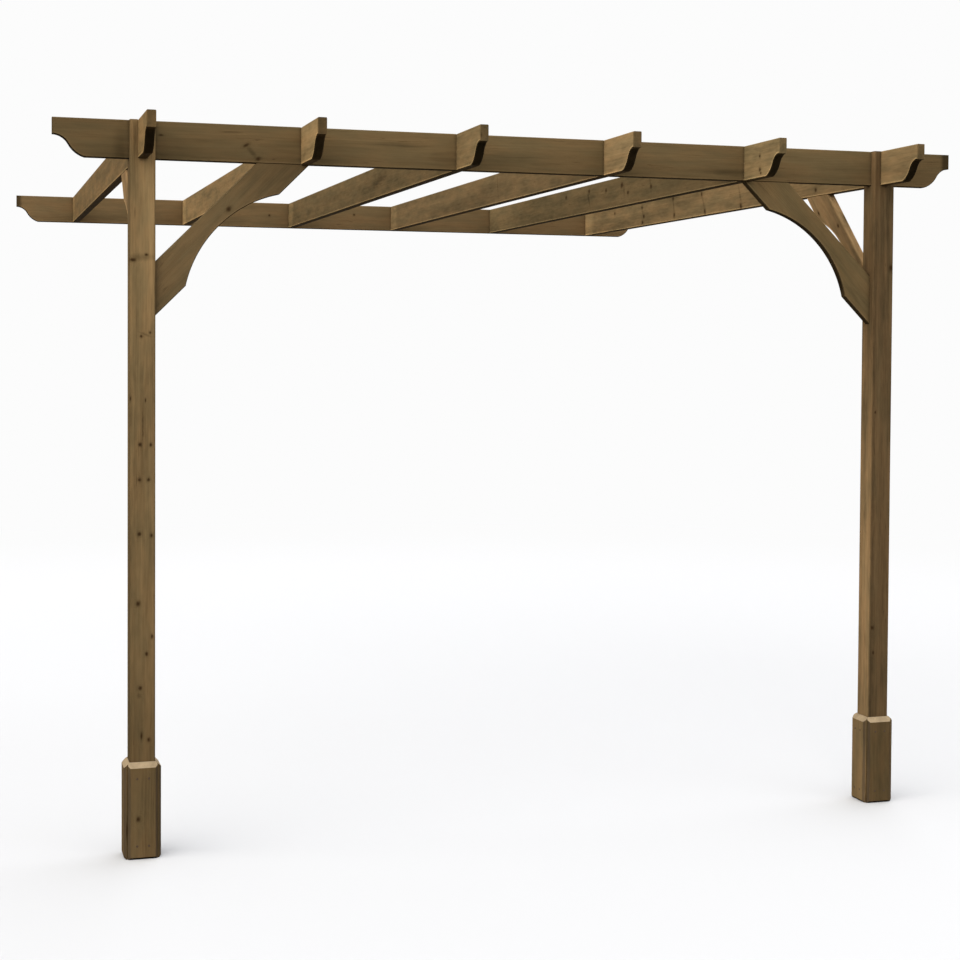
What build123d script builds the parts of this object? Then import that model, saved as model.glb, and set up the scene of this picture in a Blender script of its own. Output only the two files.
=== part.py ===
from build123d import *
import os
from math import sqrt

os.makedirs("parts", exist_ok=True)

# A lean-to garden pergola, in millimetres. +X runs along the wall, +Y into the wall, +Z up.
# The origin is on the wall plate's back face, half way along it and half way up it.

# Overall sizes
height = 2832            # ground to the top of the boards
post_spacing = 3165      # centre to centre of the posts
projection = 3715        # wall plate's front face to front beam's front face
beam_overhang = 334      # front beam and wall plate past the centre of each post
rafter_overhang = 332    # rafters past the front beam
rafter_count = 6

# Planed timber sections
post_size = 97
post_arris = 7           # radius of the post's eased corners
board_depth = 147
board_thickness = 36
board_arris = 3          # chamfer along the boards' edges

# Joints
fit_gap = 0.5            # each side of a board in its halving or slot
halving_share = 0.5      # part of the depth that the rafter loses where it crosses the beam

# Shaped board end: an upright nose, then a cove that starts level and turns into a round
nose_height = 63
ogee_run = 120           # from the nose to the board's bottom edge
turn_run = 59            # where the cove turns into the round, back from the nose
turn_drop = 35           # and below the nose

# Arched brace, as thick as the boards and set at 45 degrees
brace_depth = 147
brace_leg = 392          # from the corner of post and beam to the brace's upper edge
heel_length = 167        # straight part of the lower edge at each end
arch_rise = 75           # how far the arch is cut into the board

# Boot of four boards around each post foot, wider than the post and mitred where they meet
boot_width = 111
boot_thickness = 22
boot_height = 373
boot_bevel = 20          # sloped top that sheds water
boot_arris = 8           # chamfer along the outer edges

# Levels and lines that follow from them
board_top = board_depth / 2
board_bottom = -board_depth / 2
ground = board_top - height
halving_level = board_bottom + board_depth * halving_share
beam_front = -board_thickness - projection
beam_line = beam_front + board_thickness / 2
beam_length = post_spacing + 2 * beam_overhang
rafter_length = projection + rafter_overhang
slot_width = board_thickness + 2 * fit_gap
boot_mitre = (boot_width - post_size) / 2 + fit_gap
post_x = {"left": -post_spacing / 2, "right": post_spacing / 2}
rafter_x = [-post_spacing / 2 + i * post_spacing / (rafter_count - 1) for i in range(rafter_count)]


def ogee(end, way):
    """The two arcs of a shaped end at u = end, on a board that runs on in the direction way."""
    nose = Vector(end, board_top - nose_height)
    turn = nose + Vector(way * turn_run, -turn_drop)
    foot = Vector(end + way * ogee_run, board_bottom)
    cove = TangentArc(nose, turn, tangent=Vector(way, 0))
    return [cove, TangentArc(turn, foot, tangent=cove % 1)], nose, foot


def outline(length, square_start=False):
    """Side view of a board, from u = 0 to u = length; its far end is always shaped."""
    far_arcs, far_nose, far_foot = ogee(length, -1)
    if square_start:
        near_arcs = []
        near_foot = near_nose = Vector(0, board_bottom)
    else:
        near_arcs, near_nose, near_foot = ogee(0, 1)
    ends = [Line(near_nose, (0, board_top)), Line((length, board_top), far_nose)]
    edges = [Line((0, board_top), (length, board_top)), Line(far_foot, near_foot)]
    return make_face(near_arcs + far_arcs + ends + edges)


def thicken(face):
    """Give a side view the boards' thickness, half to each side."""
    return extrude(face, amount=board_thickness / 2, both=True)


def ease(board, keep_sharp):
    """Chamfer the outlines of both faces, apart from the edges that keep_sharp picks."""
    faces = board.faces().sort_by(Axis.Z)
    rims = faces[0].edges() + faces[-1].edges()
    return chamfer([e for e in rims if not keep_sharp(e)], board_arris)


def along_wall():
    """A board with both ends shaped, centred on x = 0 and drawn flat."""
    board = ease(thicken(outline(beam_length)), lambda e: False)
    return Pos(X=-beam_length / 2) * board


def wall_plate():
    return Plane((0, -board_thickness / 2, 0), x_dir=(1, 0, 0), z_dir=(0, -1, 0)) * along_wall()


def front_beam():
    """The beam, notched from above for every rafter."""
    beam = Plane((0, beam_line, 0), x_dir=(1, 0, 0), z_dir=(0, -1, 0)) * along_wall()
    for x in rafter_x:
        notch = Box(slot_width, 2 * board_thickness, board_top - halving_level,
                    align=(Align.CENTER, Align.CENTER, Align.MIN))
        beam -= Pos(x, beam_line, halving_level) * notch
    return beam


def rafter(x):
    """A rafter, square against the wall plate and notched from below over the beam."""
    board = ease(thicken(outline(rafter_length, square_start=True)), lambda e: (e @ 0.5).X < board_arris)
    board = Plane((x, -board_thickness, 0), x_dir=(0, -1, 0), z_dir=(-1, 0, 0)) * board
    notch = Box(2 * board_thickness, slot_width, halving_level - board_bottom,
                align=(Align.CENTER, Align.CENTER, Align.MAX))
    return board - Pos(x, beam_line, halving_level) * notch


def post(x):
    """A post whose top is slotted both ways, which leaves a horn at each corner."""
    shaft = Box(post_size, post_size, height, align=(Align.CENTER, Align.CENTER, Align.MIN))
    shaft = fillet(shaft.edges().filter_by(Axis.Z), post_arris)
    for turn in (0, 90):
        slot = Box(2 * post_size, slot_width, board_depth, align=(Align.CENTER, Align.CENTER, Align.MAX))
        shaft -= Pos(Z=height) * Rot(Z=turn) * slot
    return Pos(x, beam_line, ground) * shaft


def brace():
    """An arched brace, drawn flat, with the corner of post and beam at its origin."""
    far_leg = brace_leg + brace_depth * sqrt(2)
    heel = heel_length / sqrt(2)
    sag = arch_rise / sqrt(2)
    head, foot = Vector(far_leg - heel, -heel), Vector(heel, heel - far_leg)
    crown = (head + foot) * 0.5 + Vector(-sag, sag)
    face = make_face([
        Line((0, -brace_leg), (brace_leg, 0)),
        Line((brace_leg, 0), (far_leg, 0)),
        Line((far_leg, 0), head),
        ThreePointArc(head, crown, foot),
        Line(foot, (0, -far_leg)),
        Line((0, -far_leg), (0, -brace_leg)),
    ])
    return ease(thicken(face), lambda e: (e @ 0.5).X < board_arris or (e @ 0.5).Y > -board_arris)


def front_brace(side):
    """From the inner face of a post up to the front beam."""
    inward = 1 if side == "left" else -1
    corner = (post_x[side] + inward * post_size / 2, beam_line, board_bottom)
    return Plane(corner, x_dir=(inward, 0, 0), z_dir=(0, -inward, 0)) * brace()


def side_brace(side):
    """From the back of a post up to the outer rafter."""
    corner = (post_x[side], beam_line + post_size / 2, board_bottom)
    return Plane(corner, x_dir=(0, 1, 0), z_dir=(1, 0, 0)) * brace()


def boot_board(x, turn):
    """One board of a boot: turn 0 is in front of the post, and 90 on its right."""
    board = Box(boot_width, boot_thickness, boot_height, align=(Align.CENTER, Align.MAX, Align.MIN))
    back = board.faces().sort_by(Axis.Y)[-1]
    board = chamfer(back.edges().filter_by(Axis.Z), boot_mitre)
    face = board.faces().sort_by(Axis.Y)[0]
    board = chamfer(face.edges().sort_by(Axis.Z)[-1], boot_bevel)
    face = board.faces().filter_by(Axis.Y).sort_by(Axis.Y)[0]
    sides = face.edges().filter_by(Axis.Z)
    bottom = face.edges().filter_by(Axis.X).sort_by(Axis.Z)[0:1]
    board = chamfer(sides + bottom, boot_arris)
    return Pos(x, beam_line, ground) * Rot(Z=turn) * Pos(Y=-post_size / 2) * board


parts = {"wall_plate": wall_plate(), "front_beam": front_beam()}
for number, x in enumerate(rafter_x, start=1):
    parts[f"rafter_{number}"] = rafter(x)
for side, x in post_x.items():
    outward = 1 if side == "right" else -1
    parts[f"post_{side}"] = post(x)
    parts[f"front_brace_{side}"] = front_brace(side)
    parts[f"side_brace_{side}"] = side_brace(side)
    parts[f"boot_{side}_front"] = boot_board(x, 0)
    parts[f"boot_{side}_back"] = boot_board(x, 180)
    parts[f"boot_{side}_outer"] = boot_board(x, outward * 90)
    parts[f"boot_{side}_inner"] = boot_board(x, -outward * 90)

for name, shape in parts.items():
    export_step(shape, f"parts/{name}.step")
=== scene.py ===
# Lean-to pergola in brown-stained softwood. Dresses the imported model, lights it and sets the camera.
import math
import random

import bmesh
import bpy
from mathutils import Matrix, Vector


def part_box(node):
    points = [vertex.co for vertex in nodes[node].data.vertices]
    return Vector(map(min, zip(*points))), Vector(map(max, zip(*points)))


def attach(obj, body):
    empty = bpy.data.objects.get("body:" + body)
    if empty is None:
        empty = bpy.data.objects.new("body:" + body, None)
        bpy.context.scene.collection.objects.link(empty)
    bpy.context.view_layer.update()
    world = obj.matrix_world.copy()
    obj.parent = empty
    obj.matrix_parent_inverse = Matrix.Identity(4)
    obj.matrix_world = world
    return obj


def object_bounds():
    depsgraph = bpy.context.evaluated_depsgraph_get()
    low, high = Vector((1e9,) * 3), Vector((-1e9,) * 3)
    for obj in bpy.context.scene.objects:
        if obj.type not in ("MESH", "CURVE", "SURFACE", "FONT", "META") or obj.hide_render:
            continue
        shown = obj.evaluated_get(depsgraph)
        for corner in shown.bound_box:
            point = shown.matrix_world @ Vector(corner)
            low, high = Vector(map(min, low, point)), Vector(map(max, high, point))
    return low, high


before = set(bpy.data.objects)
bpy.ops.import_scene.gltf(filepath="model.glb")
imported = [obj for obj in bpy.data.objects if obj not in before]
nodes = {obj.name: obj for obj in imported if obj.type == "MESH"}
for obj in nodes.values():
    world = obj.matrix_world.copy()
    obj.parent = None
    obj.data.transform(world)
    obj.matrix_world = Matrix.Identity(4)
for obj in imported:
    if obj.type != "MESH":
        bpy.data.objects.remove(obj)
cadBox = [list(corner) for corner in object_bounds()]
ground = cadBox[0][2]
mm = 0.001
print("frame loaded,", len(nodes), "timbers")


def hexToLinear(code):
    channels = [int(code[i:i + 2], 16) / 255 for i in (1, 3, 5)]
    return [c / 12.92 if c <= 0.04045 else ((c + 0.055) / 1.055) ** 2.4 for c in channels] + [1.0]


def addNode(tree, kind, values):
    # values: node properties, or socket names and numbers; a socket given as the value is linked
    node = tree.nodes.new("ShaderNode" + kind)
    for key, value in values.items():
        if isinstance(value, bpy.types.NodeSocket):
            tree.links.new(value, node.inputs[key])
        elif isinstance(key, str) and hasattr(node, key):
            setattr(node, key, value)
        else:
            node.inputs[key].default_value = value
    return node


# Camera: eye level just under two metres, left of the middle, as the photograph has it
cameraSet = {
    "place": (-2.2866, -10.6677, -0.7859),
    "turnDeg": -17.097,
    "tiltDeg": -1.687,
    "rollDeg": 0.364,
    "focalPixels": 1777.5,
    "imagePixels": 960,
    "sensorMm": 36.0,
    "shift": (-0.0171, -0.0833),
    "clipEnd": 200,
}


def makeCamera():
    data = bpy.data.cameras.new("photoCamera")
    data.sensor_width = cameraSet["sensorMm"]
    data.lens = cameraSet["focalPixels"] / cameraSet["imagePixels"] * cameraSet["sensorMm"]
    data.shift_x, data.shift_y = cameraSet["shift"]
    data.clip_end = cameraSet["clipEnd"]
    camera = bpy.data.objects.new("photoCamera", data)
    bpy.context.scene.collection.objects.link(camera)
    turn = Matrix.Rotation(math.radians(cameraSet["turnDeg"]), 4, "Z")
    tilt = Matrix.Rotation(math.radians(90 + cameraSet["tiltDeg"]), 4, "X")
    roll = Matrix.Rotation(math.radians(cameraSet["rollDeg"]), 4, "Z")
    camera.matrix_world = Matrix.Translation(cameraSet["place"]) @ turn @ tilt @ roll
    bpy.context.scene.camera = camera


makeCamera()
print("camera set")

# Studio: three wide, soft lamps, the key from the upper left, a weak one from the front and a fill from
# the right and behind. The pale floor fades into the backdrop, so that no horizon shows.
studio = {
    "backdropHex": "#fcfcfc",
    "floorHex": "#dedfe1",
    "bounceHex": "#504840",    # the floor as the light that it throws back up sees it
    "floorSize": 120.0,
    "fadeCentre": (0, -2),
    "fadeFrom": 5.0,           # distance from the centre where the floor starts to fade, and ends
    "fadeTo": 11.0,
    "worldHex": "#ffffff",
    "worldStrength": 0.66,
    "lamps": [
        {"name": "key", "from": (-0.80, -0.46, 0.66), "strength": 2.2, "angleDeg": 76, "hex": "#fffaf2"},
        {"name": "front", "from": (0.32, -0.90, 0.30), "strength": 0.9, "angleDeg": 80, "hex": "#ffffff"},
        {"name": "fill", "from": (0.68, 0.58, 0.44), "strength": 1.7, "angleDeg": 70, "hex": "#f4f7ff"},
    ],
}


def seenRays(tree):
    # 1 for what the camera sees, itself or in a mirror or glass, and 0 for the light on the timber
    path = addNode(tree, "LightPath", {})
    mirrored = addNode(tree, "Math", {"operation": "MAXIMUM", 0: path.outputs["Is Glossy Ray"],
                                      1: path.outputs["Is Transmission Ray"]})
    seen = addNode(tree, "Math", {"operation": "MAXIMUM", 0: path.outputs["Is Camera Ray"],
                                  1: mirrored.outputs[0]})
    return seen.outputs[0]


def makeFloor():
    half = studio["floorSize"] / 2
    mesh = bpy.data.meshes.new("studioFloor")
    corners = [(-half, -half, ground), (half, -half, ground), (half, half, ground), (-half, half, ground)]
    mesh.from_pydata(corners, [], [(0, 1, 2, 3)])
    floor = bpy.data.objects.new("studioFloor", mesh)
    bpy.context.scene.collection.objects.link(floor)
    # studio paper, matt and without gloss, so that it only takes the soft shadow
    material = bpy.data.materials.new("paperFloor")
    material.use_nodes = True
    tree = material.node_tree
    tree.nodes.clear()
    seen = seenRays(tree)
    paper = addNode(tree, "Mix", {"data_type": "RGBA", 0: seen, 6: hexToLinear(studio["bounceHex"]),
                                  7: hexToLinear(studio["floorHex"])})
    matt = addNode(tree, "BsdfDiffuse", {"Color": paper.outputs[2]})
    plain = addNode(tree, "Emission", {"Color": hexToLinear(studio["backdropHex"]), "Strength": 1.0})
    spot = addNode(tree, "TexCoord", {})
    away = addNode(tree, "VectorMath", {"operation": "DISTANCE", 0: spot.outputs["Object"],
                                        1: (*studio["fadeCentre"], ground)})
    fade = addNode(tree, "MapRange", {"interpolation_type": "SMOOTHERSTEP", 0: away.outputs["Value"],
                                      1: studio["fadeFrom"], 2: studio["fadeTo"], 3: 0.0, 4: 1.0})
    faded = addNode(tree, "Math", {"operation": "MULTIPLY", 0: fade.outputs[0], 1: seen})
    surface = addNode(tree, "MixShader", {0: faded.outputs[0], 1: matt.outputs[0], 2: plain.outputs[0]})
    addNode(tree, "OutputMaterial", {"Surface": surface.outputs[0]})
    mesh.materials.append(material)


def makeBackdrop():
    world = bpy.data.worlds.new("studioWorld")
    world.use_nodes = True
    tree = world.node_tree
    tree.nodes.clear()
    seen = seenRays(tree)
    strength = addNode(tree, "Mix", {"data_type": "FLOAT", 0: seen, 2: studio["worldStrength"], 3: 1.0})
    tint = addNode(tree, "Mix", {"data_type": "RGBA", 0: seen, 6: hexToLinear(studio["worldHex"]),
                                 7: hexToLinear(studio["backdropHex"])})
    sky = addNode(tree, "Background", {"Color": tint.outputs[2], "Strength": strength.outputs[0]})
    addNode(tree, "OutputWorld", {"Surface": sky.outputs[0]})
    bpy.context.scene.world = world


def hangLamps():
    for lamp in studio["lamps"]:
        data = bpy.data.lights.new(lamp["name"], "SUN")
        data.energy = lamp["strength"]
        data.angle = math.radians(lamp["angleDeg"])
        data.color = hexToLinear(lamp["hex"])[:3]
        light = bpy.data.objects.new(lamp["name"], data)
        light.rotation_euler = Vector(lamp["from"]).to_track_quat("Z", "Y").to_euler()
        bpy.context.scene.collection.objects.link(light)


makeFloor()
makeBackdrop()
hangLamps()
bpy.context.scene.view_settings.view_transform = "Standard"
print("studio lit")

# Pine, planed, pressure treated and stained brown. To the eye it is matt and soft in tone: long streaks
# and drifts of stain, faint rings, small dark knots that the grain swerves round, dark end grain, near
# black undersides that are painted shade, and a paler line along the lower edges that is partly stain run
# off and partly a painted highlight. Every pattern is solid: it runs through the board, in mm along the
# grain, across it and out of the face.
# A ramp is given as from, to and the value at each, which are the Map Range node's sockets 1 to 4.
pine = {
    # size in mm along and across the grain, octaves, and how much it darkens or lightens the tone
    "patterns": {
        "drift": {"size": (1000, 95), "detail": 2.0, "depth": 0.085},
        "streak": {"size": (600, 15), "detail": 2.0, "depth": 0.050},
        # real fibres are under 1 mm wide, too fine to show here, so they are drawn coarser
        "fibre": {"size": (150, 4.5), "detail": 1.0, "depth": 0.030},
        "mottle": {"size": (200, 46), "detail": 4.0, "depth": 0.055},
        "grit": {"size": (55, 14), "detail": 2.0, "depth": 0.028},
        "check": {"size": (420, 9), "detail": 1.0, "depth": 0.0},
    },
    "patternStride": (17.3, 5.7),        # moves each timber to its own place in the patterns
    "noiseSpread": 0.15,                 # how far the noise strays from its middle
    "plainTone": 1.02,                   # evens out what the rings take away
    "warm": (1.04, 0.99, 0.94),          # the two casts of the stain, which follow the mottle
    "olive": (0.98, 1.00, 0.98),
    "castRamp": (0.36, 0.64, 0.0, 1.0),
    "wanderMm": (500, 90),               # how the grain wanders, and by how many mm
    "wanderBy": 22.0,
    "ringMm": 4.8,                       # growth ring spacing
    "ringDark": 0.06,
    "ringRise": (0.3, 0.8, 0.0, 1.0),    # the dark late wood comes slowly and stops short, within a year
    "ringDrop": (0.85, 1.0, 1.0, 0.0),
    "postPithMm": 14,                    # how far the pith is from a post's middle, at most
    "boardPithMm": (30, 55, 100),        # for a board: sideways at most, and out of the face from and to
    "pithLean": 0.010,                   # radians
    "knotHex": "#33210f",
    "knotRamp": (0.2, 1.25, 0.9, 0.0),   # over the distance from a knot, which is 1 at its rim
    "haloRamp": (0.7, 2.2, 1.0, 0.0),
    "haloDark": 0.20,
    "pushRamp": (0.6, 4.0, 14.0, 0.0),   # mm by which the rings swerve round it
    "markRamp": (0.1, 1.5, 1.7, 0.0),
    "postKnotMm": 14.0,                  # a listed knot's half depth; in a board it goes right through
    "boardKnotMm": 60.0,
    "jitterMm": (14, 7),                 # how uneven the rim of a knot is, and by how many mm
    "jitterBy": 5,
    "strayKnotMm": (330.0, 95.0),        # cell of the small knots on faces that the list leaves out
    "strayKnotShare": 9.0,               # and how often a knot's half size goes into it
    "strayKnotsOff": (0.3, 0.5, 0.0, 20.0),  # keeps them off the best face
    "checkRamp": (0.004, 0.02, 1.0, 0.0),    # drying checks, over the noise's distance from its middle,
    "checkPlaces": (0.56, 0.66, 0.0, 1.0),   # and the parts of the mottle that have them
    "checkDark": 0.35,
    "edgeMm": 12.0,                      # a paler line beside the lower edges of each face, partly stain run off, partly painted highlight
    "edgeFrom": -0.20,                   # how far down the rounded edge looks where the line is full
    "edgeTo": -0.02,
    "edgeWearAndHighlight": 1.5,
    "edgeFace": (0.9, 0.99, 0.0, 1.0),   # only on the two broad faces
    "endRamp": (0.35, 0.95, 1.0, 0.5),   # end grain drinks more stain
    "shadeUnderFrom": -0.35,                  # how far down a face looks where its painted shade is full
    "shadeUnderTo": -0.08,
    "underShadeTones": (0.15, 0.5, 0.34, 0.13),   # painted shade: an underside's tone, and that of the ends' sawn hollows
    "seamShadeMm": 16.0,                      # painted shade in the joints and other recesses, over this width
    "seamShadeRamp": (0.35, 0.95, 0.6, 1.0),
    "reliefMm": 0.30,
    "reliefStrength": 0.6,
    "relief": {"ring": 0.5, "check": -2.0, "knot": 0.6},    # beside the fibres, which count as 1
    "roughness": 0.88,
    "ior": 1.45,
    "specular": 0.02,                    # raw, weathered wood with next to no gloss left
}

# Boots: painted shade on the chamfered corners, and sloped tops that weathered pale
boots = {
    "chamferShadeHex": "#4c4032",
    "chamferShadeRamp": (0.08, 0.22, 0.0, 0.75),  # over 0 on a flat face, up to 0.25 where it turns by 45 degrees
    "slopeHex": "#c6af8d",
    "slopeRamp": (-0.6, -0.4, 1.0, 0.0),    # over how far a face looks along the grain, which runs down
}

# Stain of each timber, how lively its streaks and mottle are, steps of tone along it (from mm, to mm and
# the factor at each), and the same for the faces beside the best one, which is painted light and shade. The
# first name that fits is used.
stains = {
    "wall_plate": {"hex": "#7b6648", "streaks": 1.0, "mottle": 1.2, "edge": 0.2,
                   "steps": [(-1905, -1880, 0.35, 1), (-1500, 600, 0.97, 0.88)]},
    # the beam's step down to 0.82 towards its right end is painted shade
    "front_beam": {"hex": "#726043", "streaks": 1.0, "mottle": 1.0, "edge": 0.2,
                   "steps": [(-1800, -500, 0.78, 1), (-500, 900, 1, 0.94), (1200, 1750, 1, 0.82),
                             (1870, 1892, 1, 0.38)]},
    # on each rafter, the step from 1560 to 1640 mm lightens the end in front of the beam: painted light
    "rafter_1": {"hex": "#756041", "streaks": 1.2, "mottle": 2.7,
                 "steps": [(-1925, -1835, 1.45, 1), (1560, 1640, 1, 1.42)]},
    "rafter_2": {"hex": "#8b7451", "streaks": 1.2, "mottle": 2.7,
                 "steps": [(-1925, -1835, 1.45, 1), (1560, 1640, 1, 1.25), (2016, 2022, 1, 0.55)]},
    "rafter_3": {"hex": "#6e5d41", "streaks": 1.2, "mottle": 2.7,
                 "steps": [(-1925, -1835, 1.45, 1), (1560, 1640, 1, 1.53)]},
    "rafter_4": {"hex": "#766346", "streaks": 1.2, "mottle": 2.7,
                 "steps": [(-1925, -1835, 1.45, 1), (1560, 1640, 1, 1.77), (2016, 2022, 1, 0.74)]},
    "rafter_5": {"hex": "#6a5a3f", "streaks": 1.2, "mottle": 2.7,
                 "steps": [(-1925, -1000, 1.35, 1), (1560, 1640, 1, 1.98), (2016, 2022, 1, 1.25)]},
    "rafter_6": {"hex": "#826d4d", "streaks": 1.2, "mottle": 2.7,
                 "steps": [(-1925, -1835, 1.45, 1), (1560, 1640, 1, 1.19)]},
    "post_left": {"hex": "#8c7552", "streaks": 1.8, "mottle": 1.8,
                  "steps": [(-900, 1000, 0.98, 0.66), (500, 1040, 1, 0.72)],
                  "sideLightSteps": [(-1300, 1300, 0.6, 0.6)]},
    "post_right": {"hex": "#625038", "streaks": 2.0, "mottle": 2.0, "sideLightSteps": [(-900, 300, 1.35, 2.35)]},
    "front_brace_left": {"hex": "#726044", "streaks": 0.8, "mottle": 1.7, "edge": 0.2,
                         "steps": [(60, 280, 1, 0.80)]},
    # the step that lightens this brace's top is painted light, against a rafter end's shadow on it
    "front_brace_right": {"hex": "#6c5b3f", "streaks": 0.8, "mottle": 1.7, "edge": 0.2,
                          "steps": [(60, 280, 1, 1.25)]},
    "side_brace": {"hex": "#8e7452", "streaks": 1.2, "mottle": 2.7, "sideLightSteps": [(-300, 300, 1.4, 1.4)]},
    "boot_left_outer": {"hex": "#615038", "streaks": 1.0, "mottle": 1.8, "edge": 0.0},
    "boot_left": {"hex": "#69573c", "streaks": 1.0, "mottle": 1.8, "edge": 0.0},
    "boot_right_front": {"hex": "#5c4c34", "streaks": 1.0, "mottle": 1.8, "edge": 0.0},
    "boot": {"hex": "#7f6a4b", "streaks": 1.0, "mottle": 1.8, "edge": 0.0},
}

# Knots: mm along and across from the timber's middle, half length, half width, turn in degrees.
# Posts and boots run downwards, rafters away from the wall, beam and plate from left to right, and the
# braces from the post up.
knots = {
    "front_beam": [(-1181, -3, 15, 7, 30), (-1134, -54, 12, 8, 20), (-1508, 23, 12, 4, 0)],
    "wall_plate": [(-448, 2, 8, 8, 0), (71, 20, 8, 8, 0)],
    "post_left": [(-880, -36, 8, 15, 0), (-900, 16, 6, 9, 0), (-589, -3, 6, 6, 0), (-603, 30, 6, 5, 0),
                  (-352, -46, 12, 5, 0), (-344, 13, 8, 3, 0), (-175, -8, 8, 7, 0), (-174, 33, 8, 6, 0),
                  (-40, -10, 8, 7, 0), (-40, 25, 8, 7, 0), (168, -10, 9, 8, 0), (174, 36, 9, 6, 0),
                  (435, -15, 11, 9, 0), (563, 38, 10, 6, 0), (630, 18, 9, 7, 0), (761, -6, 10, 8, 0),
                  (946, -1, 16, 5, 0), (962, 26, 10, 7, 0)],
    "post_right": [(-910, 40, 16, 10, 0), (-284, -28, 8, 5, 0), (655, -30, 10, 8, 0), (764, -24, 8, 5, 0)],
    "rafter_5": [(-580, 38, 16, 12, 0), (-216, 41, 14, 12, 0), (36, 25, 12, 11, 0), (262, 34, 20, 17, 30),
                 (345, -10, 16, 11, 0), (650, -5, 14, 11, 0), (1848, 19, 10, 8, 0), (1850, -37, 12, 11, 0),
                 (1858, -52, 8, 7, 0)],
    "rafter_6": [(-1052, 36, 14, 12, 0), (-1495, 33, 12, 11, 0), (-1024, -16, 14, 12, 0),
                 (-1045, -50, 14, 14, 0), (-588, 50, 12, 13, 0), (-571, -40, 14, 18, 0),
                 (-195, 46, 12, 18, 20), (-150, -50, 14, 20, 25), (302, -56, 14, 22, 25),
                 (1120, -41, 14, 11, 0)],
    "front_brace_left": [(74, 98, 14, 11, 0)],
    "side_brace_right": [(282, -29, 14, 7, 0), (99, -113, 12, 8, 0)],
    "boot_left_front": [(32, -16, 11, 8, 0)],
}

# Faint marks, given the same way: spike knots and shadows of branches that cross a face
marks = {
    "front_beam": [(-1158, -30, 10, 42, 42), (-560, 20, 120, 14, 0), (900, -35, 140, 12, 0),
                   (-1660, -25, 30, 70, 0), (-1655, -50, 20, 34, 0)],
    "post_left": [(-1340, -27, 75, 5, 0), (-1330, -8, 60, 4, 0), (-890, 0, 14, 60, 3),
                  (-596, 12, 5, 26, -20), (-250, 4, 70, 4, 0), (790, -10, 12, 9, 0)],
    "rafter_3": [(350, 8, 190, 24, 8)],
    "rafter_4": [(205, 10, 7, 62, 10)],
    "post_right": [(0, -34, 1400, 9, 0)],
    "rafter_5": [(-216, -10, 10, 66, 26), (290, 10, 14, 44, 15), (640, 10, 10, 54, 15)],
    "rafter_6": [(-1038, 0, 10, 66, 22), (-580, 8, 10, 66, 12), (-172, 0, 11, 70, 28), (290, 0, 10, 70, 22)],
}

diag = math.sqrt(0.5)


def grainAndFace(name):
    # the direction of the grain, and the one that the timber's best face looks
    if name in ("wall_plate", "front_beam"):
        return (1, 0, 0), (0, -1, 0)
    if name.startswith("rafter"):
        return (0, -1, 0), (-1, 0, 0)
    if name.startswith("front_brace"):
        return (diag if name.endswith("left") else -diag, 0, diag), (0, -1, 0)
    if name.startswith("side_brace"):
        return (0, diag, diag), (-1, 0, 0)
    if name.endswith("back"):
        return (0, 0, -1), (0, 1, 0)
    if name in ("boot_left_outer", "boot_right_inner"):
        return (0, 0, -1), (-1, 0, 0)
    if name in ("boot_right_outer", "boot_left_inner"):
        return (0, 0, -1), (1, 0, 0)
    return (0, 0, -1), (0, -1, 0)


def perMm(size):
    # a pattern's scale, from its size in mm along and across the grain
    along, across = size
    return (1 / along, 1 / across, 1 / across)


def nearestSpot(tree, places, where, depth):
    # distance to the nearest of some oval spots, 1 at its rim
    nearest = None
    for along, across, halfLong, halfWide, turnDeg in places:
        inside = addNode(tree, "Mapping", {"vector_type": "TEXTURE", "Vector": where,
                                           "Location": (along, across, depth[0]),
                                           "Rotation": (0, 0, math.radians(turnDeg)),
                                           "Scale": (halfLong, halfWide, depth[1])})
        size = addNode(tree, "VectorMath", {"operation": "LENGTH", 0: inside.outputs[0]}).outputs["Value"]
        if nearest is None:
            nearest = size
        else:
            nearest = addNode(tree, "Math", {"operation": "MINIMUM", 0: nearest, 1: size}).outputs[0]
    return nearest


def layKnots(tree, name, seed, board, outward, depth):
    # the listed knots on the best face, and small stray ones on the others: the distance to the nearest,
    # and how much it and the faint marks darken the wood around them
    uneven = addNode(tree, "Mapping", {"Vector": board, "Location": (seed, 2, 5),
                                       "Scale": perMm(pine["jitterMm"])})
    jitter = addNode(tree, "TexNoise", {"Vector": uneven.outputs[0], "Scale": 1.0, "Detail": 1.0})
    knotSpot = addNode(tree, "VectorMath", {"operation": "MULTIPLY_ADD", 0: jitter.outputs["Color"],
                                            1: (pine["jitterBy"], pine["jitterBy"], 0),
                                            2: board}).outputs[0]
    stray = addNode(tree, "Mapping", {"Vector": board, "Scale": perMm(pine["strayKnotMm"]),
                                      "Location": (seed * 3.3, 5, seed * pine["patternStride"][1])})
    cell = addNode(tree, "TexVoronoi", {"Vector": stray.outputs[0], "Scale": 1.0, "Randomness": 1.0})
    bestFace = addNode(tree, "MapRange", {"interpolation_type": "SMOOTHSTEP", 0: outward,
                                          **dict(enumerate(pine["strayKnotsOff"], 1))})
    nearest = addNode(tree, "Math", {"operation": "MULTIPLY_ADD", 0: cell.outputs["Distance"],
                                     1: pine["strayKnotShare"], 2: bestFace.outputs[0]}).outputs[0]
    if name in knots:
        listed = nearestSpot(tree, knots[name], knotSpot, depth)
        nearest = addNode(tree, "Math", {"operation": "MINIMUM", 0: nearest, 1: listed}).outputs[0]
    halo = addNode(tree, "MapRange", {"interpolation_type": "SMOOTHSTEP", 0: nearest,
                                      **dict(enumerate(pine["haloRamp"], 1))}).outputs[0]
    if name in marks:
        crossing = nearestSpot(tree, marks[name], knotSpot, depth)
        mark = addNode(tree, "MapRange", {"interpolation_type": "SMOOTHSTEP", 0: crossing,
                                          **dict(enumerate(pine["markRamp"], 1))}).outputs[0]
        halo = addNode(tree, "Math", {"operation": "MAXIMUM", 0: halo, 1: mark}).outputs[0]
    return nearest, halo


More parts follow.
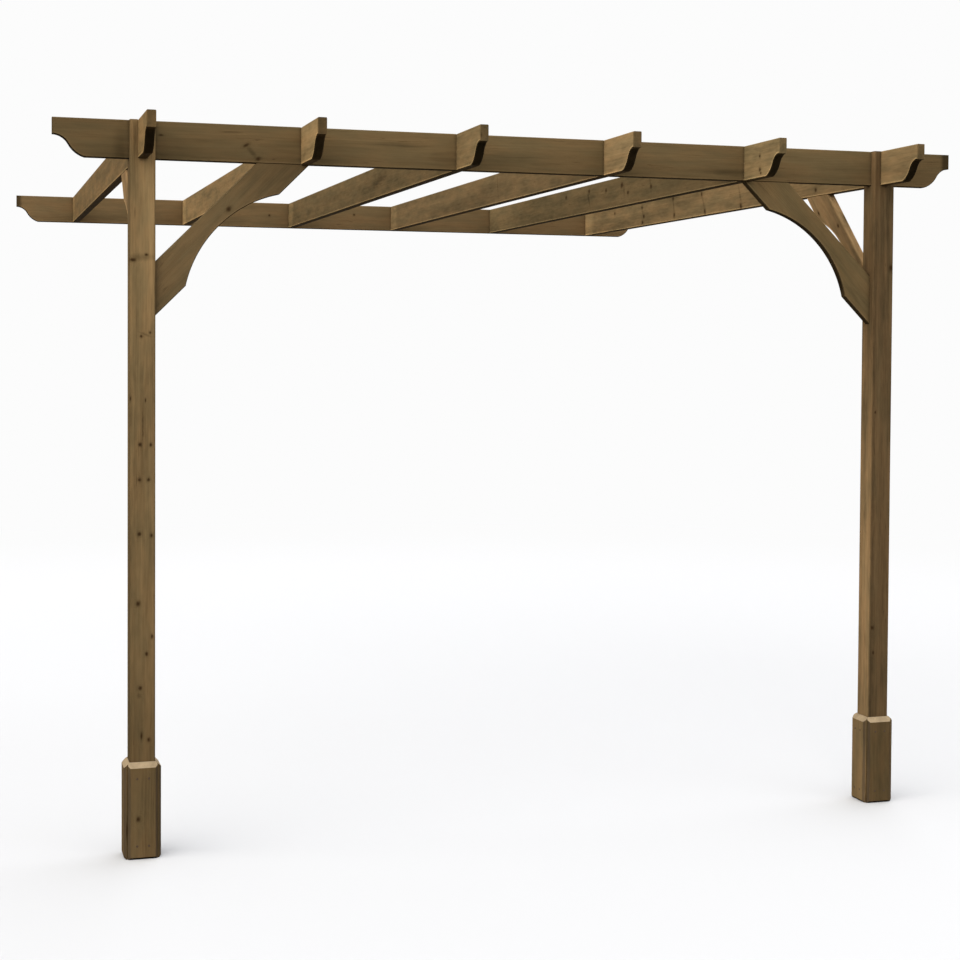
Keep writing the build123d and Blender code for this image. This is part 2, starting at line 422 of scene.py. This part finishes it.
def growRings(tree, name, seed, grainSpot, nearestKnot):
    # dark late wood of each year, round a pith that leans a little against the board's axis
    dice = random.Random(seed)
    if name.startswith("post"):
        reach = pine["postPithMm"]
        pith = (dice.uniform(-reach, reach), dice.uniform(-reach, reach))
    else:
        reach, near, far = pine["boardPithMm"]
        pith = (dice.uniform(-reach, reach), dice.uniform(near, far) * dice.choice((-1, 1)))
    lean = pine["pithLean"]
    tilt = (0, dice.uniform(-lean, lean), dice.uniform(-lean, lean))
    # stretched a million times lengthwise, so that only the distance from the pith's line counts
    heart = addNode(tree, "Mapping", {"vector_type": "TEXTURE", "Vector": grainSpot, "Location": (0, *pith),
                                      "Rotation": tilt, "Scale": (1e6, 1, 1)}).outputs[0]
    radius = addNode(tree, "VectorMath", {"operation": "LENGTH", 0: heart}).outputs["Value"]
    push = addNode(tree, "MapRange", {"interpolation_type": "SMOOTHERSTEP", 0: nearestKnot,
                                      **dict(enumerate(pine["pushRamp"], 1))}).outputs[0]
    radius = addNode(tree, "Math", {"operation": "ADD", 0: radius, 1: push}).outputs[0]
    year = addNode(tree, "Math", {"operation": "DIVIDE", 0: radius, 1: pine["ringMm"]}).outputs[0]
    season = addNode(tree, "Math", {"operation": "FRACT", 0: year}).outputs[0]
    rise, drop = (addNode(tree, "MapRange", {"interpolation_type": "SMOOTHSTEP", 0: season,
                                             **dict(enumerate(pine[ramp], 1))}).outputs[0]
                  for ramp in ("ringRise", "ringDrop"))
    return addNode(tree, "Math", {"operation": "MULTIPLY", 0: rise, 1: drop}).outputs[0]


def shadeAndWeatherBoot(tree, stained, square, along):
    rest = addNode(tree, "Math", {"operation": "SUBTRACT", 0: 1.0, 1: square}).outputs[0]
    corner = addNode(tree, "Math", {"operation": "MULTIPLY", 0: square, 1: rest}).outputs[0]
    # painted shade on the chamfers, which turn about 45 degrees from the faces
    chamferShade = addNode(tree, "MapRange", {"interpolation_type": "SMOOTHSTEP", 0: corner,
                                      **dict(enumerate(boots["chamferShadeRamp"], 1))}).outputs[0]
    stained = addNode(tree, "Mix", {"data_type": "RGBA", 0: chamferShade, 6: stained,
                                    7: hexToLinear(boots["chamferShadeHex"])}).outputs[2]
    upward = addNode(tree, "MapRange", {"interpolation_type": "SMOOTHSTEP", 0: along,
                                        **dict(enumerate(boots["slopeRamp"], 1))}).outputs[0]
    return addNode(tree, "Mix", {"data_type": "RGBA", 0: upward, 6: stained,
                                 7: hexToLinear(boots["slopeHex"])}).outputs[2]


def makeTimber(name, seed):
    low, high = (Vector(corner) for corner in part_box(name))
    grain, face = (Vector(axis) for axis in grainAndFace(name))
    turn = Matrix((grain, face.cross(grain), face)).transposed().to_euler()
    stain = next(entry for part, entry in stains.items() if name.startswith(part))
    material = bpy.data.materials.new("planedStainedPine_" + name)
    material.use_nodes = True
    tree = material.node_tree
    tree.nodes.clear()

    # board: mm along the grain, across it and out of the face, from the timber's middle
    spot = addNode(tree, "TexCoord", {})
    board = addNode(tree, "Mapping", {"vector_type": "TEXTURE", "Vector": spot.outputs["Object"],
                                      "Location": (low + high) / 2, "Rotation": turn,
                                      "Scale": (mm, mm, mm)}).outputs[0]
    length = addNode(tree, "SeparateXYZ", {0: board}).outputs[0]
    along, outward = (addNode(tree, "VectorMath", {"operation": "DOT_PRODUCT", 0: spot.outputs["Normal"],
                                                   1: axis}).outputs["Value"] for axis in (grain, face))
    square = addNode(tree, "Math", {"operation": "MULTIPLY", 0: outward, 1: outward}).outputs[0]

    # the grain wanders a little from the board's straight axis
    strideX, strideZ = (seed * stride for stride in pine["patternStride"])
    sized = addNode(tree, "Mapping", {"Vector": board, "Location": (strideX, 1.7, strideZ),
                                      "Scale": perMm(pine["wanderMm"])})
    sway = addNode(tree, "TexNoise", {"Vector": sized.outputs[0], "Scale": 1.0, "Detail": 2.0})
    grainSpot = addNode(tree, "VectorMath", {"operation": "MULTIPLY_ADD", 0: sway.outputs["Color"],
                                             1: (0, pine["wanderBy"], pine["wanderBy"]),
                                             2: board}).outputs[0]
    noises = {}
    for order, (label, pattern) in enumerate(pine["patterns"].items()):
        sized = addNode(tree, "Mapping", {"Vector": grainSpot, "Scale": perMm(pattern["size"]),
                                          "Location": (strideX + order * 4.1, order * 7.9, strideZ)})
        noises[label] = addNode(tree, "TexNoise", {"Vector": sized.outputs[0], "Scale": 1.0,
                                                   "Detail": pattern["detail"]}).outputs[0]

    halfThick = abs((high - low).dot(face)) / 2 / mm
    depth = (halfThick, pine["postKnotMm"]) if name.startswith("post") else (0.0, pine["boardKnotMm"])
    nearest, halo = layKnots(tree, name, seed, board, outward, depth)
    knot = addNode(tree, "MapRange", {"interpolation_type": "SMOOTHSTEP", 0: nearest,
                                      **dict(enumerate(pine["knotRamp"], 1))}).outputs[0]
    late = growRings(tree, name, seed, grainSpot, nearest)

    # tone: 1 is the plain stain, and each pattern adds or takes a little
    tone = addNode(tree, "Math", {"operation": "MULTIPLY_ADD", 0: late, 1: -pine["ringDark"],
                                  2: pine["plainTone"]}).outputs[0]
    for label, pattern in pine["patterns"].items():
        amount = pattern["depth"] * (stain["mottle"] if label in ("mottle", "grit") else stain["streaks"])
        if amount:
            centred = addNode(tree, "Math", {"operation": "SUBTRACT", 0: noises[label], 1: 0.5}).outputs[0]
            tone = addNode(tree, "Math", {"operation": "MULTIPLY_ADD", 0: centred,
                                          1: amount / pine["noiseSpread"], 2: tone}).outputs[0]
    tone = addNode(tree, "Math", {"operation": "MULTIPLY_ADD", 0: halo, 1: -pine["haloDark"],
                                  2: tone}).outputs[0]

    # drying checks: hairlines where a stretched noise crosses its middle, here and there
    apart = addNode(tree, "Math", {"operation": "SUBTRACT", 0: noises["check"], 1: 0.5}).outputs[0]
    apart = addNode(tree, "Math", {"operation": "ABSOLUTE", 0: apart}).outputs[0]
    hairline = addNode(tree, "MapRange", {"interpolation_type": "SMOOTHSTEP", 0: apart,
                                          **dict(enumerate(pine["checkRamp"], 1))}).outputs[0]
    dry = addNode(tree, "MapRange", {"interpolation_type": "SMOOTHSTEP", 0: noises["mottle"],
                                     **dict(enumerate(pine["checkPlaces"], 1))}).outputs[0]
    check = addNode(tree, "Math", {"operation": "MULTIPLY", 0: hairline, 1: dry}).outputs[0]
    tone = addNode(tree, "Math", {"operation": "MULTIPLY_ADD", 0: check, 1: -pine["checkDark"],
                                  2: tone}).outputs[0]

    # a paler line runs beside the lower edges of a face, where the plane rounded it and the stain ran off;
    # it is partly a painted highlight
    bent = addNode(tree, "Bevel", {"samples": 4, "Radius": pine["edgeMm"] * mm}).outputs[0]
    dip = addNode(tree, "SeparateXYZ", {0: bent}).outputs[2]
    wornEdgeAndHighlight = addNode(tree, "MapRange", {"interpolation_type": "SMOOTHSTEP", 0: dip, 1: pine["edgeFrom"],
                                      2: pine["edgeTo"], 3: pine["edgeWearAndHighlight"] * stain.get("edge", 1.0),
                                      4: 0.0}).outputs[0]
    onFace = addNode(tree, "MapRange", {"interpolation_type": "SMOOTHSTEP", 0: square,
                                        **dict(enumerate(pine["edgeFace"], 1))}).outputs[0]
    tone = addNode(tree, "Math", {"operation": "MULTIPLY_ADD", 0: wornEdgeAndHighlight, 1: onFace, 2: tone}).outputs[0]

    # end grain is darker, and undersides and joints get painted shade
    facing = addNode(tree, "Math", {"operation": "ABSOLUTE", 0: along}).outputs[0]
    drink = addNode(tree, "MapRange", {"interpolation_type": "SMOOTHSTEP", 0: facing,
                                       **dict(enumerate(pine["endRamp"], 1))}).outputs[0]
    # painted shade on faces that look down, deepest in the sawn hollows at the ends
    underShadeDepth = addNode(tree, "MapRange", {"interpolation_type": "SMOOTHSTEP", 0: facing,
                                       **dict(enumerate(pine["underShadeTones"], 1))}).outputs[0]
    upright = addNode(tree, "SeparateXYZ", {0: spot.outputs["Normal"]}).outputs[2]
    paintedUnderShade = addNode(tree, "MapRange", {"interpolation_type": "SMOOTHSTEP", 0: upright,
                                       1: pine["shadeUnderFrom"], 2: pine["shadeUnderTo"], 3: underShadeDepth,
                                       4: 1.0}).outputs[0]
    # painted shade where the timber is hemmed in, at joints and in recesses
    openness = addNode(tree, "AmbientOcclusion", {"samples": 6, "Distance": pine["seamShadeMm"] * mm})
    paintedSeamShade = addNode(tree, "MapRange", {"interpolation_type": "SMOOTHSTEP", 0: openness.outputs["AO"],
                                      **dict(enumerate(pine["seamShadeRamp"], 1))}).outputs[0]
    shades = [drink, paintedUnderShade, paintedSeamShade]

    # steps of tone along the timber; some are painted light and shade: the rafters' lighter ends in front of
    # the beam, the beam's darker right end and the right front brace's lighter top
    for step in stain.get("steps", []):
        shades.append(addNode(tree, "MapRange", {"interpolation_type": "SMOOTHSTEP", 0: length,
                                                 **dict(enumerate(step, 1))}).outputs[0])
    # painted light and shade on the faces beside the best one
    for step in stain.get("sideLightSteps", []):
        paintedSideLight = addNode(tree, "MapRange", {"interpolation_type": "SMOOTHSTEP", 0: length,
                                            **dict(enumerate(step, 1))}).outputs[0]
        shades.append(addNode(tree, "Mix", {"data_type": "FLOAT", 0: square, 2: paintedSideLight,
                                            3: 1.0}).outputs[0])
    for shade in shades:
        tone = addNode(tree, "Math", {"operation": "MULTIPLY", 0: tone, 1: shade}).outputs[0]

    base = hexToLinear(stain["hex"])
    warm, olive = ([c * k for c, k in zip(base, pine[cast])] + [1.0] for cast in ("warm", "olive"))
    lean = addNode(tree, "MapRange", {"interpolation_type": "SMOOTHSTEP", 0: noises["mottle"],
                                      **dict(enumerate(pine["castRamp"], 1))}).outputs[0]
    stained = addNode(tree, "Mix", {"data_type": "RGBA", 0: lean, 6: olive, 7: warm}).outputs[2]
    if name.startswith("boot"):
        stained = shadeAndWeatherBoot(tree, stained, square, along)
    shaded = addNode(tree, "VectorMath", {"operation": "SCALE", 0: stained, "Scale": tone}).outputs[0]
    colour = addNode(tree, "Mix", {"data_type": "RGBA", 0: knot, 6: shaded,
                                   7: hexToLinear(pine["knotHex"])}).outputs[2]

    height = noises["fibre"]
    for label, shape in (("ring", late), ("check", check), ("knot", knot)):
        height = addNode(tree, "Math", {"operation": "MULTIPLY_ADD", 0: shape, 1: pine["relief"][label],
                                        2: height}).outputs[0]
    bump = addNode(tree, "Bump", {"Strength": pine["reliefStrength"], "Distance": pine["reliefMm"] * mm,
                                  "Height": height}).outputs[0]
    shader = addNode(tree, "BsdfPrincipled", {"Base Color": colour, "Roughness": pine["roughness"],
                                              "IOR": pine["ior"], "Specular IOR Level": pine["specular"],
                                              "Normal": bump})
    addNode(tree, "OutputMaterial", {"Surface": shader.outputs[0]})
    return material


for index, (name, timber) in enumerate(sorted(nodes.items())):
    timber.data.materials.clear()
    timber.data.materials.append(makeTimber(name, index))
print("timber stained")

# Screws of the boots: cross-recess pan heads of turned steel, dulled brown by weather, four to a board
screws = {
    "hex": "#4c3a26",
    "metallic": 0.4,
    "roughness": 0.55,
    "radiusMm": 4.4,
    "domeMm": 1.3,
    "profile": ((0.6, 0.93), (0.85, 0.68), (0.97, 0.3), (1.0, -0.4)),   # shares of radius and dome
    "recessMm": (2.0, 0.55, 1.0),        # arm length, half width and depth of the cross
    "recessTaper": 0.75,
    "acrossMm": 22,
    "heightsMm": (52, 312),              # above the ground
}


def screwRings():
    # from the bottom of the cross out to the rim, in mm above the board
    arm, half, depth = screws["recessMm"]
    cross = []
    for quarter in range(4):
        for x, y in ((arm, -half), (arm, half), (half, half)):
            for _ in range(quarter):
                x, y = -y, x
            cross.append(Vector((x, y)))
    outline = []
    for i, corner in enumerate(cross):
        outline += [corner, (corner + cross[(i + 1) % len(cross)]) / 2]
    taper, dome = screws["recessTaper"], screws["domeMm"]
    rings = [[(v.x * taper, v.y * taper, dome - depth) for v in outline],
             [(v.x, v.y, dome) for v in outline]]
    for share, height in screws["profile"]:
        turned = [v.normalized() * screws["radiusMm"] * share for v in outline]
        rings.append([(v.x, v.y, dome * height) for v in turned])
    return rings


def makeScrews():
    mesh = bmesh.new()
    rings = screwRings()
    for name in nodes:
        if not name.startswith("boot"):
            continue
        low, high = (Vector(corner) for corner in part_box(name))
        face = Vector(grainAndFace(name)[1])
        middle = (low + high) / 2 + face * abs((high - low).dot(face)) / 2
        sideways = Vector((0, 0, 1)).cross(face)
        for height in screws["heightsMm"]:
            for hand in (-1, 1):
                place = middle + sideways * hand * screws["acrossMm"] * mm
                place.z = ground + height * mm
                twist = Matrix.Rotation(random.Random(place.x * 7 + place.z + hand).uniform(0, 1.5), 4, "Z")
                outward = face.to_track_quat("Z", "Y").to_matrix().to_4x4()
                stand = Matrix.Translation(place) @ outward @ twist
                loops = [[mesh.verts.new(stand @ (Vector(point) * mm)) for point in ring]
                         for ring in rings]
                mesh.faces.new(loops[0])
                for inner, outer in zip(loops, loops[1:]):
                    for i in range(len(inner)):
                        mesh.faces.new((inner[i - 1], outer[i - 1], outer[i], inner[i]))
    bmesh.ops.recalc_face_normals(mesh, faces=mesh.faces)
    data = bpy.data.meshes.new("bootScrews")
    mesh.to_mesh(data)
    mesh.free()
    heads = bpy.data.objects.new("bootScrews", data)
    bpy.context.scene.collection.objects.link(heads)
    steel = bpy.data.materials.new("dulledTurnedSteel")
    steel.use_nodes = True
    tree = steel.node_tree
    tree.nodes.clear()
    shader = addNode(tree, "BsdfPrincipled", {"Base Color": hexToLinear(screws["hex"]),
                                              "Metallic": screws["metallic"],
                                              "Roughness": screws["roughness"]})
    addNode(tree, "OutputMaterial", {"Surface": shader.outputs[0]})
    data.materials.append(steel)
    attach(heads, "root")


makeScrews()
print("screws driven")
